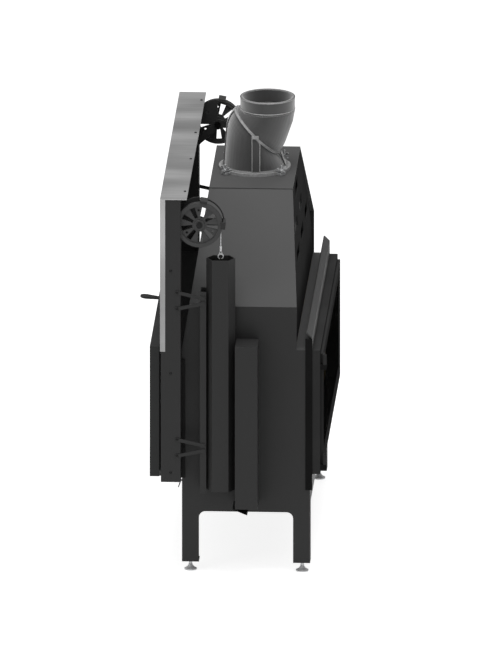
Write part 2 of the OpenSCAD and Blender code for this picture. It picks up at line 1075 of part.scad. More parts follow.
module left_counterweight() {
  mirror([1, 0, 0])
    counterweight();
}

// Front door: a shallow steel tray with a wide window, carried by a bar in each post
lug_extra = 6;
lug_in = lift_x - bar_w / 2 - lug_extra;
lug_out = lift_x + bar_w / 2;

module door_frame() {
  pocket_front = door_front_y + door_skin;
  reveal = window_half + glass_lip;
  reveal_low = window_low - glass_lip;
  reveal_high = window_high + glass_lip;
  color(steel)
    difference() {
      block([-door_half, door_front_y, frame_z], [door_half, door_back_y, door_top]);
      block(
        [-window_half, door_front_y - over, window_low],
        [window_half, door_back_y + over, window_high]
      );
      block([-reveal, pocket_front, reveal_low], [reveal, door_back_y + over, reveal_high]);
      difference() {
        block(
          [-door_half + door_skin, pocket_front, frame_z + door_skin],
          [door_half - door_skin, door_back_y + over, door_top - door_skin]
        );
        block(
          [-reveal - door_skin, pocket_front - over, reveal_low - door_skin],
          [reveal + door_skin, door_back_y + 2 * over, reveal_high + door_skin]
        );
        both_sides()
          block([lug_in, pocket_front - over, frame_z], [lug_out, door_back_y + 2 * over, bar_z + lug_h]);
      }
    }
}

module door_glass() {
  glass_y = door_front_y + door_skin;
  side = window_half + glass_lip - ease;
  color(glass_tint)
    block(
      [-side, glass_y, window_low - glass_lip + ease],
      [side, glass_y + glass_t, window_high + glass_lip - ease]
    );
}

handle_t = 6;
handle_drop = 13;
handle_root_w = 20;
handle_tilt = 6;

// The tongue is cut flush with the face of the door that it is welded to
module door_handle() {
  tip_r = handle_w / 2;
  color(steel)
    intersection() {
      translate([0, door_front_y, door_top - handle_drop - handle_t])
        rotate([-handle_tilt, 0, 0])
          linear_extrude(handle_t) {
            translate([0, tip_r - handle_len])
              circle(r = tip_r);
            polygon([
              [-handle_root_w / 2, handle_t], [-tip_r, tip_r - handle_len],
              [tip_r, tip_r - handle_len], [handle_root_w / 2, handle_t]
            ]);
          }
      block([-handle_w, door_front_y - 2 * handle_len, frame_z], [handle_w, door_front_y, door_top]);
    }
}

module door_carriages() {
  shelf_back = front_run_y + socket_r - ease;
  color(grey_steel)
    both_sides() {
      block([lift_x - bar_w / 2, bar_y, bar_z], [lift_x + bar_w / 2, bar_y + bar_t, bar_top]);
      block([lug_in, door_back_y, bar_z], [lug_out, bar_y + bar_t, bar_z + lug_h]);
      block([lift_x - shelf_w / 2, bar_y, bar_top - bar_t], [lift_x + shelf_w / 2, shelf_back, bar_top]);
      tube_z_at(lift_x, front_run_y, bar_top - bar_t, bar_top + socket_h, socket_r - ease);
    }
}

module carriage_glides() {
  color("#3a3d40")
    both_sides()
      for (z = [bar_z + glide_inset, bar_top - bar_t - glide_inset - glide_h])
        block(
          [post_in + post_t + ease, bar_y + bar_t, z],
          [post_out - post_t - ease, bar_y + glide_d, z + glide_h]
        );
}

// Air supply: ducts on the side panels, flaps on one shaft below them, and the air lever
duct_wall = 2;
flap_inset = 14;
flap_w = 79;

module air_ducts() {
  color(steel)
    both_sides()
      difference() {
        block([half_w, duct_y, duct_z], [half_w + duct_d, duct_y + duct_w, duct_z + duct_h]);
        block(
          [half_w - over, duct_y + duct_wall, duct_z - over],
          [half_w + duct_d - duct_wall, duct_y + duct_w - duct_wall, duct_z + duct_h - duct_wall]
        );
      }
}

module air_flaps() {
  flap_out = half_w + duct_d - flap_inset;
  flap_in = flap_out - flap_w;
  color(dark_steel)
    translate([0, flap_axis_y, flap_axis_z]) {
      tube_x(-flap_out, flap_out, 0, 0, flap_shaft_r);
      both_sides()
        rotate([-flap_angle, 0, 0])
          block([flap_in, 0, -duct_wall / 2], [flap_out, flap_len, duct_wall / 2]);
    }
}

lever_out = 12;
lever_drop = 27;
lever_lean = 9;
lever_in = 40;

module air_lever() {
  bend_y = front_y - lever_out;
  top = lever_z + lever_t / 2;
  color(steel)
    along_x(lever_x - lever_w / 2, lever_x + lever_w / 2)
      polygon([
        [front_y + lever_in, top], [bend_y - lever_t, top], [bend_y - lever_t - lever_lean, top - lever_drop],
        [bend_y - lever_lean, top - lever_drop], [bend_y, top - lever_t], [front_y + lever_in, top - lever_t]
      ]);
}

// Flue outlet: a ring on the hood, an elbow of two halves that turn, straps and clamps
ring_out = 131;
ring_t = 6;
ring_lip_t = 10;
elbow_flange = 12;
elbow_foot_r = elbow_r + elbow_flange;
clamp_grip = 4;
elbow_foot_t = 6;
joint_back = 10;
joint_y = mid_y + joint_back;
joint_z = hood_z + joint_rise;
flue_y = mid_y + flue_offset;
flue_z = joint_z + rim_rise;
joint_gap = 0.5;
joint_lean = 45;
neck_h = 5;
neck_step = 1;
neck_r = elbow_r - neck_step;
collar_h_flue = 50;
collar_room = 1.5;
belly_r = 79;
belly_back = 51;
belly_rise = 36;
clamp_at = 150;
clamp_w = 30;
clamp_plate_w = 20;
clamp_reach = 7;
clamp_t = 4;
clamp_neck = 8;
clamp_top = 24;
clamp_wing = 15;
clamp_screw_r = 4;
strap_w = 31;
strap_t = 4;
ring_half = 4;
ring_band = 6;

module flue_ring() {
  color(cast_grey)
    translate([0, mid_y, hood_z])
      rotate_extrude($fn = 96)
        polygon([
          [flue_hole_r, 0], [ring_out, 0], [ring_out, ring_lip_t], [elbow_foot_r + ease, ring_lip_t],
          [elbow_foot_r + ease, ring_t], [flue_hole_r, ring_t]
        ]);
}

module ring_clamps() {
  foot_top = ring_t + ease + elbow_foot_t;
  color(cast_grey)
    translate([0, mid_y, hood_z])
      for (angle = [45 : 90 : 315])
        rotate(angle) {
          block([ring_out + ease, -clamp_w / 2, 0], [clamp_at + clamp_reach, clamp_w / 2, foot_top + ease]);
          block([elbow_foot_r - clamp_grip, -clamp_plate_w / 2, foot_top + ease],
            [clamp_at + clamp_reach, clamp_plate_w / 2, foot_top + ease + clamp_t]);
          tube_z_at(clamp_at, 0, 0, foot_top + clamp_top, clamp_screw_r);
          block([clamp_at - clamp_wing, -clamp_screw_r / 2, foot_top + clamp_neck],
            [clamp_at + clamp_wing, clamp_screw_r / 2, foot_top + clamp_top]);
        }
}

// Half of a ball beyond the neck of the leaning joint: side is -1 below it and 1 above it
module on_joint() {
  translate([0, joint_y, joint_z])
    rotate([-joint_lean, 0, 0])
      children();
}

module joint_half(r, side) {
  on_joint()
    intersection() {
      sphere(r = r, $fn = 48);
      translate([-r, -r, side > 0 ? neck_h : -r])
        cube([2 * r, 2 * r, r - neck_h]);
    }
}

module joint_neck(side, r, low, high) {
  on_joint()
    mirror([0, 0, side > 0 ? 0 : 1])
      tube_z_at(0, 0, low, high, r);
}

module lower_solid(r, low) {
  hull() {
    joint_half(r, -1);
    tube_z_at(0, mid_y, low, low + elbow_foot_t, r);
  }
}

module flue_lower_elbow() {
  foot_z = hood_z + ring_t + ease;
  color(cast_grey)
    difference() {
      union() {
        lower_solid(elbow_r, foot_z);
        joint_neck(-1, neck_r, joint_gap / 2, neck_h + over);
        tube_z_at(0, mid_y, foot_z, foot_z + elbow_foot_t, elbow_foot_r);
      }
      hull() {
        joint_half(elbow_r - flue_wall, -1);
        tube_z_at(0, mid_y, foot_z - over, foot_z, elbow_r - flue_wall);
      }
      joint_neck(-1, neck_r - flue_wall, 0, neck_h + over);
    }
}

module flue_joint_ring() {
  color(bright)
    on_joint()
      rotate_extrude($fn = 96)
        rect([neck_r + ease, -ring_half], [neck_r + ease + ring_band, ring_half]);
}

// The side straps end under the leaning ring, the front one bends over the elbow's shoulder
// and the short rear one ends outside the ring
module flue_straps() {
  foot_z = hood_z + ring_t + ease + elbow_foot_t;
  strap_in = elbow_r + ease;
  strap_out = strap_in + strap_t;
  half = strap_w / 2;
  top_drop = (ring_half + ease) / cos(joint_lean);
  arc_end = joint_lean + atan2(ring_half + ease, strap_in);
  rear_end = neck_r + ring_band + 2 * ease;
  rear_y = joint_y + rear_end * sin(joint_lean);
  color(cast_grey) {
    both_sides()
      along_x(strap_in, strap_out)
        polygon([
          [joint_y - half, foot_z], [joint_y + half, foot_z],
          [joint_y + half, joint_z - half * tan(joint_lean) - top_drop],
          [joint_y - half, joint_z + half * tan(joint_lean) - top_drop]
        ]);
    along_x(-half, half) {
      polygon([
        [mid_y - strap_out, foot_z], [mid_y - strap_in, foot_z],
        [joint_y - strap_in, joint_z], [joint_y - strap_out, joint_z]
      ]);
      translate([joint_y, joint_z])
        intersection() {
          difference() {
            circle(r = strap_out);
            circle(r = strap_in);
          }
          polygon([
            [0, 0], [-2 * strap_out, 0],
            [-2 * strap_out * sin(arc_end), 2 * strap_out * cos(arc_end)]
          ]);
        }
      polygon([
        [mid_y + strap_in, foot_z], [mid_y + strap_out, foot_z],
        [rear_y + strap_t, joint_z - rear_end * cos(joint_lean)],
        [rear_y, joint_z - rear_end * cos(joint_lean)]
      ]);
    }
  }
}

// The upper half bulges a little behind the line from the ball to the collar
module upper_solid(inset, collar_base) {
  hull() {
    joint_half(elbow_r - inset, 1);
    tube_z_at(0, joint_y + belly_back, joint_z + belly_rise, joint_z + belly_rise + over,
      belly_r - inset);
    tube_z_at(0, flue_y, collar_base - over, collar_base, flue_r - inset);
  }
}

module flue_upper_elbow() {
  collar_base = flue_z - collar_h_flue;
  color(cast_grey)
    difference() {
      union() {
        upper_solid(0, collar_base);
        joint_neck(1, neck_r, joint_gap / 2, neck_h + over);
      }
      upper_solid(flue_wall, collar_base);
      tube_z_at(0, flue_y, collar_base - 2 * over, collar_base + over, flue_r - flue_wall);
      tube_z_at(0, flue_y, collar_base, flue_z, flue_r + collar_room);
      joint_neck(1, neck_r - flue_wall, 0, neck_h + over);
    }
}

// The straight collar that the flue pipe slides over
module flue_collar() {
  color(cast_grey)
    difference() {
      tube_z_at(0, flue_y, flue_z - collar_h_flue + ease, flue_z, flue_r);
      tube_z_at(0, flue_y, flue_z - collar_h_flue, flue_z + over, flue_r - flue_wall);
    }
}

// Rear door: a glazed frame on two pins at its right edge
rear_door_gap = 16;
rear_rail = 40;
rear_door_half = half_w - rear_door_gap;
rear_door_low = frame_z + rear_door_gap;
rear_door_high = waist_z - rear_door_gap;
rear_door_y = rear_face_y + ease;
rear_door_back = rear_door_y + rear_door_t - ease;
hinge_out = 1;
hinge_x = half_w - hinge_r + hinge_out;
hinge_y = rear_door_back + hinge_r;
hinge_foot_h = 18;
hinge_h = 56;
hinge_inset = 17;
hinge_levels = [frame_z + hinge_inset, waist_z - hinge_inset - hinge_h];

module rear_door_frame() {
  color(steel) {
    difference() {
      along_y(rear_door_y, rear_door_back)
        difference() {
          rect([-rear_door_half, rear_door_low], [rear_door_half, rear_door_high]);
          rect([rear_rail - rear_door_half, rear_door_low + rear_rail],
            [rear_door_half - rear_rail, rear_door_high - rear_rail]);
        }
      along_y(rear_door_y - over, rear_door_y + glass_t + ease)
        rect([rear_rail - glass_lip - rear_door_half, rear_door_low + rear_rail - glass_lip],
          [rear_door_half - rear_rail + glass_lip, rear_door_high - rear_rail + glass_lip]);
    }
    for (z = hinge_levels)
      difference() {
        union() {
          tube_z_at(hinge_x, hinge_y, z + hinge_foot_h + ease, z + hinge_h, hinge_r);
          block([rear_door_half - 2 * hinge_r, rear_door_back - over, z + hinge_foot_h + ease],
            [hinge_x, rear_door_back + hinge_r, z + hinge_h]);
        }
        tube_z_at(hinge_x, hinge_y, z, z + hinge_h + over, hinge_pin_r + run_fit);
      }
  }
}

module rear_door_glass() {
  side = rear_door_half - rear_rail + glass_lip - ease;
  color(glass_tint)
    along_y(rear_door_y + ease, rear_door_y + glass_t + ease)
      rect([-side, rear_door_low + rear_rail - glass_lip + ease],
        [side, rear_door_high - rear_rail + glass_lip - ease]);
}

module rear_hinges() {
  color(dark_steel)
    for (z = hinge_levels) {
      block([rear_door_half + 2 * ease, rear_face_y, z], [half_w, hinge_y + hinge_r, z + hinge_foot_h]);
      tube_z_at(hinge_x, hinge_y, z, z + hinge_h, hinge_pin_r);
    }
}

// Feet: a disc that flares up into the stud that screws into the leg's foot plate
foot_edge = 4;
foot_flare = 18;
flare_shares = [[0.92, 0.06], [0.78, 0.15], [0.64, 0.27], [0.5, 0.43], [0.4, 0.62], [0.33, 0.82], [0.3, 1]];
stud_spare = 10;
stud_top = leg_rise + foot_plate_t + foot_travel + stud_spare;

module foot(x, y) {
  color(bright)
    translate([x, y, 0]) {
      rotate_extrude()
        polygon(concat(
          [[0, 0], [foot_r, 0], [foot_r, foot_edge]],
          [for (share = flare_shares) [foot_r * share[0], foot_edge + foot_flare * share[1]]],
          [[0, foot_edge + foot_flare]]
        ));
      cylinder(h = stud_top, r = stud_r);
    }
}

module front_right_foot() {
  foot(foot_x, mid_y - foot_y);
}

module front_left_foot() {
  foot(-foot_x, mid_y - foot_y);
}

module rear_right_foot() {
  foot(foot_x, mid_y + foot_y);
}

module rear_left_foot() {
  foot(-foot_x, mid_y + foot_y);
}

right_side_panel();
left_side_panel();
aprons();
base_plate();
firebox_floor();
hearth_slabs();
fire_grate();
side_linings();
baffle_plate();
smoke_dome();
hood_front();
hood_rear();
hood_slopes();
hood_top();
front_surround();
door_seal();
rear_surround();
rear_ledge();
edge_strips();
post_spacers();
guide_posts();
mask();
cover_screws();
strut_brackets();
tube_uprights();
weight_tubes();
pulley_brackets();
pulley_axles();
cable_guards();
cable_wraps();
rear_cables();
air_ducts();
flue_ring();
ring_clamps();
rear_hinges();
door_frame();
door_glass();
door_handle();
door_carriages();
carriage_glides();
front_cables();
right_counterweight();
left_counterweight();
right_cable_end();
left_cable_end();
right_pulley();
left_pulley();
rear_door_frame();
rear_door_glass();
flue_lower_elbow();
flue_straps();
flue_joint_ring();
flue_upper_elbow();
flue_collar();
air_lever();
air_flaps();
front_right_foot();
front_left_foot();
rear_right_foot();
rear_left_foot();
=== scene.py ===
import math

import bmesh
import bpy
from mathutils import Matrix, Vector

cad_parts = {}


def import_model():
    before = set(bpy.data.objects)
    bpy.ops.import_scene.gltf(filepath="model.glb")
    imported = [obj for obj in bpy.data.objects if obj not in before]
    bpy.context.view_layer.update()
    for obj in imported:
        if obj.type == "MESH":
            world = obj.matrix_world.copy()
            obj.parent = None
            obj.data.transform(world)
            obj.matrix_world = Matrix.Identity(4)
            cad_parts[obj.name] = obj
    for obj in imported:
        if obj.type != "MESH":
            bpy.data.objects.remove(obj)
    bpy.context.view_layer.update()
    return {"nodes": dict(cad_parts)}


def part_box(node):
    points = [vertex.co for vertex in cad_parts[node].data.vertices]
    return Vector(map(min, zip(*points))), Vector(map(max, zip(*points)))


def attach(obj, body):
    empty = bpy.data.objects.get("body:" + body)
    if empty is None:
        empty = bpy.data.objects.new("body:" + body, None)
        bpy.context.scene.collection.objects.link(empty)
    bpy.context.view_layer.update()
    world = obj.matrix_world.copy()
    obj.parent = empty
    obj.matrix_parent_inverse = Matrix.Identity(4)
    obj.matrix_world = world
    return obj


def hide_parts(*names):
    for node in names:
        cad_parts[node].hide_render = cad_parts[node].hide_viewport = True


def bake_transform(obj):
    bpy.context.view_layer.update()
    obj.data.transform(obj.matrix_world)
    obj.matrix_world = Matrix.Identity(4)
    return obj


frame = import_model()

MM = 0.001
scene = bpy.context.scene
scene.view_settings.view_transform = "Standard"

# Camera: the parallel view of a catalogue drawing, from the right and a little above
AZIMUTH, ELEVATION = math.radians(2.9), math.radians(16.2)
AIM = Vector((0, 0.0445, 0.7214))
VIEW_WIDTH, CAMERA_DISTANCE = 1.825, 12.0
BACK = Vector((
    math.cos(AZIMUTH) * math.cos(ELEVATION),
    math.sin(AZIMUTH) * math.cos(ELEVATION),
    math.sin(ELEVATION),
))
camera_data = bpy.data.cameras.new("side_view")
camera_data.type = "ORTHO"
camera_data.sensor_fit = "HORIZONTAL"
camera_data.ortho_scale = VIEW_WIDTH
camera_data.clip_end = 40
camera = bpy.data.objects.new("side_view", camera_data)
scene.collection.objects.link(camera)
camera.location = AIM + BACK * CAMERA_DISTANCE
camera.rotation_euler = (-BACK).to_track_quat("-Z", "Y").to_euler()
scene.camera = camera


# ---------------------------------------------------------------- finishes

def linear(hex_colour):
    """A colour written as sRGB hex, as Blender's linear colour."""
    values = [int(hex_colour[i:i + 2], 16) / 255 for i in (1, 3, 5)]
    return [v / 12.92 if v <= 0.04045 else ((v + 0.055) / 1.055) ** 2.4 for v in values] + [1]


def add(tree, kind, settings, inputs):
    """Adds a node with its settings; an input is a plain value or another node's output."""
    node = tree.nodes.new("ShaderNode" + kind)
    for name, value in settings.items():
        setattr(node, name, value)
    for name, value in inputs.items():
        if isinstance(value, bpy.types.NodeSocket):
            tree.links.new(value, node.inputs[name])
        else:
            node.inputs[name].default_value = value
    return node


def finish(name):
    """A new material with nothing in its tree but the output, and its Object coordinates."""
    material = bpy.data.materials.new(name)
    material.use_nodes = True
    tree = material.node_tree
    tree.nodes.clear()
    output = add(tree, "OutputMaterial", {}, {})
    place = add(tree, "TexCoord", {}, {}).outputs["Object"]
    return material, tree, output, place


def ramp(tree, value, stops):
    """A colour ramp over value; stops are (position, sRGB hex) pairs."""
    node = add(tree, "ValToRGB", {}, {"Fac": value})
    while len(node.color_ramp.elements) < len(stops):
        node.color_ramp.elements.new(0.5)
    for element, (position, colour) in zip(node.color_ramp.elements, stops):
        element.position = position
        element.color = linear(colour)
    return node.outputs["Color"]


def painted(name, shades, rough, gleam=0.3, grain_mm=4.5, bump=0.12, worn_and_lit_edge_colour="#565655"):
    """Silicone stove paint, sprayed over sheet steel: an even satin coat with a fine peel,
    slow changes of gloss where the spray overlapped, and a lighter line on the folds that is
    partly wear and partly a painted highlight where the edges catch the light."""
    material, tree, output, place = finish(name)
    spray = add(tree, "TexNoise", {}, {"Vector": place, "Scale": 1 / 0.22, "Detail": 3.0})
    peel = add(tree, "TexNoise", {}, {"Vector": place, "Scale": 1000 / grain_mm, "Detail": 2.0})
    coat = ramp(tree, spray.outputs["Fac"], [(0.3, shades[0]), (0.7, shades[1])])
    soft = add(tree, "Bevel", {"samples": 4}, {"Radius": 1.6 * MM})
    shape = add(tree, "NewGeometry", {}, {})
    along = add(tree, "VectorMath", {"operation": "DOT_PRODUCT"},
                {0: soft.outputs["Normal"], 1: shape.outputs["Normal"]})
    edge = add(tree, "MapRange", {}, {
        "Value": along.outputs["Value"], "From Min": 0.97, "From Max": 0.8,
        "To Min": 0.0, "To Max": 0.55})
    # Lighter colour on the folds: partly worn paint, partly a painted highlight on the edges
    worn_and_lit_edge_mask = add(tree, "Math", {"operation": "MULTIPLY"},
                  {0: edge.outputs["Result"], 1: spray.outputs["Fac"]})
    colour = add(tree, "Mix", {"data_type": "RGBA"},
                 {0: worn_and_lit_edge_mask.outputs["Value"], 6: coat, 7: linear(worn_and_lit_edge_colour)})
    gloss = add(tree, "MapRange", {}, {
        "Value": spray.outputs["Fac"], "From Min": 0.3, "From Max": 0.7, "To Min": rough - 0.06,
        "To Max": rough + 0.06})
    height = add(tree, "Bump", {}, {
        "Strength": bump, "Distance": 0.3 * MM, "Height": peel.outputs["Fac"],
        "Normal": soft.outputs["Normal"]})
    shader = add(tree, "BsdfPrincipled", {}, {
        "Base Color": colour.outputs[2], "Roughness": gloss.outputs["Result"],
        "Specular IOR Level": gleam, "IOR": 1.5, "Normal": height.outputs["Normal"]})
    tree.links.new(shader.outputs["BSDF"], output.inputs["Surface"])
    return material


# The outside of the casing, the posts, the tubes and the ducts: near black, satin
casing_paint = painted("stove_paint_black", ("#2c2c2c", "#323232"), 0.55)
# The hood's slopes and its top plate show the same paint as the casing, painted lighter to stand
# for the light from above that falls on them
hood_paint_painted_lighter = painted("stove_paint_hood_painted_lighter", ("#4d4d4d", "#525252"), 0.65)
# Inner and small pieces: the darkest coat
inner_paint = painted("stove_paint_inner", ("#1c1c1c", "#222222"), 0.65, 0.15)
# The rear of the casing: dead matt, so that it stays dark where the light grazes it
rear_paint = painted("stove_paint_rear", ("#202020", "#262626"), 0.9, 0.0)
# The rear surround and the vented sheet: the same dead matt coat, painted a lighter grey that
# stands for the light they catch at a graze
rear_grey_painted_lighter = painted("stove_paint_rear_painted_lighter", ("#3c3c3c", "#424242"), 0.9, 0.0)
# The door's tray, a little glossier because it is handled
door_paint = painted("stove_paint_door", ("#242525", "#292a2a"), 0.6)
# The pulleys: cast, painted, and rubbed a little lighter on their faces
pulley_paint = painted("stove_paint_pulleys", ("#464646", "#4d4d4d"), 0.5)


def flue_enamel():
    """Cast steel elbow in a smooth mid-grey satin enamel: broad soft reflections, slight
    unevenness left by the casting, and a painted highlight in lighter grey along the turned edges."""
    material, tree, output, place = finish("grey_enamel_on_cast_steel")
    cloud = add(tree, "TexNoise", {}, {"Vector": place, "Scale": 1 / 0.09, "Detail": 4.0})
    sand = add(tree, "TexNoise", {}, {"Vector": place, "Scale": 1000 / 5.0, "Detail": 2.0})
    coat = ramp(tree, cloud.outputs["Fac"], [(0.3, "#2f2f2f"), (0.7, "#383838")])
    soft = add(tree, "Bevel", {"samples": 10}, {"Radius": 7.0 * MM})
    shape = add(tree, "NewGeometry", {}, {})
    along = add(tree, "VectorMath", {"operation": "DOT_PRODUCT"},
                {0: soft.outputs["Normal"], 1: shape.outputs["Normal"]})
    edge = add(tree, "MapRange", {}, {
        "Value": along.outputs["Value"], "From Min": 0.98, "From Max": 0.86,
        "To Min": 0.0, "To Max": 1.0})
    # Lighter grey along the edges is a painted highlight
    colour = add(tree, "Mix", {"data_type": "RGBA"},
                 {0: edge.outputs["Result"], 6: coat, 7: linear("#8c8c8c")})
    height = add(tree, "Bump", {}, {
        "Strength": 0.15, "Distance": 0.4 * MM, "Height": sand.outputs["Fac"],
        "Normal": soft.outputs["Normal"]})
    shader = add(tree, "BsdfPrincipled", {}, {
        "Base Color": colour.outputs[2], "Metallic": 0.2, "Roughness": 0.42, "Sheen Weight": 1.0,
        "Sheen Roughness": 0.55, "Normal": height.outputs["Normal"]})
    tree.links.new(shader.outputs["BSDF"], output.inputs["Surface"])
    return material


def galvanised_sheet():
    """Bright galvanised sheet, skin-passed: fine rolling lines across the mask, soft broad
    bands where the zinc varies, and no spangle to speak of."""
    material, tree, output, place = finish("galvanised_sheet")
    drawn = add(tree, "Mapping", {}, {"Vector": place, "Scale": (1.0, 0.06, 0.06)})
    lines = add(tree, "TexNoise", {}, {
        "Vector": drawn.outputs["Vector"], "Scale": 1000 / 7.0, "Detail": 4.0})
    bands = add(tree, "Mapping", {}, {"Vector": place, "Scale": (1.0, 0.25, 0.25)})
    cloud = add(tree, "TexNoise", {}, {
        "Vector": bands.outputs["Vector"], "Scale": 1 / 0.19, "Detail": 1.5})
    zinc = ramp(tree, cloud.outputs["Fac"],
                [(0.34, "#949494"), (0.5, "#aeaeae"), (0.66, "#d4d4d4")])
    streak = add(tree, "MapRange", {}, {
        "Value": lines.outputs["Fac"], "From Min": 0.35, "From Max": 0.65,
        "To Min": 0.9, "To Max": 1.05})
    colour = add(tree, "Mix", {"data_type": "RGBA", "blend_type": "MULTIPLY"},
                 {0: 1.0, 6: zinc, 7: streak.outputs["Result"]})
    gloss = add(tree, "MapRange", {}, {
        "Value": cloud.outputs["Fac"], "From Min": 0.3, "From Max": 0.7,
        "To Min": 0.5, "To Max": 0.36})
    height = add(tree, "Bump", {}, {
        "Strength": 0.12, "Distance": 0.3 * MM, "Height": lines.outputs["Fac"]})
    shader = add(tree, "BsdfPrincipled", {}, {
        "Base Color": colour.outputs[2], "Metallic": 0.9, "Roughness": gloss.outputs["Result"],
        "Normal": height.outputs["Normal"]})
    tree.links.new(shader.outputs["BSDF"], output.inputs["Surface"])
    return material


def bare_metal(name, shades, rough, speck_mm, bump=0.1, metal=1.0):
    """A metal that shows itself: shades and gloss vary over a few millimetres."""
    material, tree, output, place = finish(name)
    speck = add(tree, "TexNoise", {}, {"Vector": place, "Scale": 1000 / speck_mm, "Detail": 3.0})
    colour = ramp(tree, speck.outputs["Fac"], [(0.35, shades[0]), (0.65, shades[1])])
    gloss = add(tree, "MapRange", {}, {
        "Value": speck.outputs["Fac"], "From Min": 0.3, "From Max": 0.7, "To Min": rough - 0.05,
        "To Max": rough + 0.07})
    height = add(tree, "Bump", {}, {
        "Strength": bump, "Distance": 0.2 * MM, "Height": speck.outputs["Fac"]})
    shader = add(tree, "BsdfPrincipled", {}, {
        "Base Color": colour, "Metallic": metal, "Roughness": gloss.outputs["Result"],
        "Normal": height.outputs["Normal"]})
    tree.links.new(shader.outputs["BSDF"], output.inputs["Surface"])
    return material


# Black zinc plate on screws and axles: dark, smooth, with a faint steel gleam
black_zinc = bare_metal("black_zinc_plate", ("#242424", "#303030"), 0.45, 5.0, 0.04)
# Bright zinc plate on cable ends and feet: glossy, near white and only a little metallic, partly
# the zinc's own brightness and partly a painted reflection of the white floor; faintly cloudy
zinc_plate = bare_metal("zinc_plate_painted_reflection", ("#dcddde", "#f0f1f2"), 0.3, 6.0, 0.02, 0.25)
# Grey zinc on the clamps: duller and rougher
dull_zinc = bare_metal("dull_zinc_plate", ("#a2a3a4", "#bcbdbe"), 0.42, 4.0, 0.1, 0.4)
# Cast iron, as cast and blackened: dark, rough, sandy
cast_iron = bare_metal("cast_iron", ("#2a2928", "#3d3b39"), 0.62, 5.0, 0.5)


def wire_rope():
    """Galvanised wire rope: strands laid round the run, drawn coarser than life so they show."""
    material, tree, output, place = finish("galvanised_wire_rope")
    lay = add(tree, "Mapping", {}, {"Vector": place, "Rotation": (math.radians(35), 0.0, 0.0)})
    strands = add(tree, "TexWave", {"bands_direction": "Z"},
                  {"Vector": lay.outputs["Vector"], "Scale": 1000 / 5.0 / 6.3, "Distortion": 0.0})
    colour = ramp(tree, strands.outputs["Fac"], [(0.1, "#b4b5b6"), (0.7, "#d8d9da")])
    height = add(tree, "Bump", {}, {
        "Strength": 0.25, "Distance": 0.5 * MM, "Height": strands.outputs["Fac"]})
    shader = add(tree, "BsdfPrincipled", {}, {
        "Base Color": colour, "Metallic": 0.5, "Roughness": 0.38,
        "Normal": height.outputs["Normal"]})
    tree.links.new(shader.outputs["BSDF"], output.inputs["Surface"])
    return material


def vermiculite():
    """Pressed vermiculite board: sandy buff with golden flakes and small dark pits."""
    material, tree, output, place = finish("pressed_vermiculite")
    flakes = add(tree, "TexVoronoi", {}, {"Vector": place, "Scale": 1000 / 6.0})
    sand = add(tree, "TexNoise", {}, {"Vector": place, "Scale": 1000 / 9.0, "Detail": 5.0})
    base = ramp(tree, sand.outputs["Fac"],
                [(0.3, "#a08b69"), (0.55, "#bda985"), (0.75, "#d0bf9d")])
    golden = ramp(tree, flakes.outputs["Distance"], [(0.05, "#8f7a55"), (0.6, "#d9c9a6")])
    colour = add(tree, "Mix", {"data_type": "RGBA"}, {0: 0.4, 6: base, 7: golden})
    height = add(tree, "Bump", {}, {
        "Strength": 0.5, "Distance": 0.6 * MM, "Height": flakes.outputs["Distance"]})
    shader = add(tree, "BsdfPrincipled", {}, {
        "Base Color": colour.outputs[2], "Roughness": 0.93, "Normal": height.outputs["Normal"]})
    tree.links.new(shader.outputs["BSDF"], output.inputs["Surface"])
    return material


def stove_glass():
    """Glass ceramic: clear with a faint smoky tint, a hard gloss and the slight waviness of
    rolled sheet."""
    material, tree, output, place = finish("glass_ceramic")
    roll = add(tree, "TexNoise", {}, {"Vector": place, "Scale": 1 / 0.3, "Detail": 1.0})
    height = add(tree, "Bump", {}, {
        "Strength": 0.05, "Distance": 0.5 * MM, "Height": roll.outputs["Fac"]})
    shader = add(tree, "BsdfPrincipled", {}, {
        "Base Color": linear("#6f7372"), "Roughness": 0.03, "Specular IOR Level": 0.3,
        "IOR": 1.54, "Transmission Weight": 1.0, "Normal": height.outputs["Normal"]})
    tree.links.new(shader.outputs["BSDF"], output.inputs["Surface"])
    return material


def shaded_rear_glass():
    """The rear pane, tinted near black as painted shade for the dark behind it: see-through,
    thinner in cloudy patches, and with no gloss, so that it does not shine where the light grazes
    it."""
    material, tree, output, place = finish("glass_ceramic_painted_shade")
    tint_cloud = add(tree, "TexNoise", {}, {"Vector": place, "Scale": 1 / 0.25, "Detail": 3.0})
    # Near-black tint: painted shade
    colour = ramp(tree, tint_cloud.outputs["Fac"], [(0.3, "#101010"), (0.7, "#1a1a19")])
    veil = add(tree, "MapRange", {}, {
        "Value": tint_cloud.outputs["Fac"], "From Min": 0.3, "From Max": 0.7,
        "To Min": 0.5, "To Max": 0.45})
    shader = add(tree, "BsdfPrincipled", {}, {
        "Base Color": colour, "Roughness": 0.3, "Specular IOR Level": 0.0,
        "Alpha": veil.outputs["Result"]})
    tree.links.new(shader.outputs["BSDF"], output.inputs["Surface"])
    return material


def sealing_rope():
    """Knitted glass-fibre rope round the opening: charcoal, matt, with a knitted relief."""
    material, tree, output, place = finish("knitted_glass_fibre_rope")
    knit = add(tree, "TexVoronoi", {}, {"Vector": place, "Scale": 1000 / 4.0})
    colour = ramp(tree, knit.outputs["Distance"], [(0.1, "#5a5956"), (0.7, "#2c2b2a")])
    height = add(tree, "Bump", {"invert": True}, {
        "Strength": 0.8, "Distance": 1.0 * MM, "Height": knit.outputs["Distance"]})
    shader = add(tree, "BsdfPrincipled", {}, {
        "Base Color": colour, "Roughness": 0.95, "Sheen Weight": 0.3,
        "Normal": height.outputs["Normal"]})
    tree.links.new(shader.outputs["BSDF"], output.inputs["Surface"])
    return material


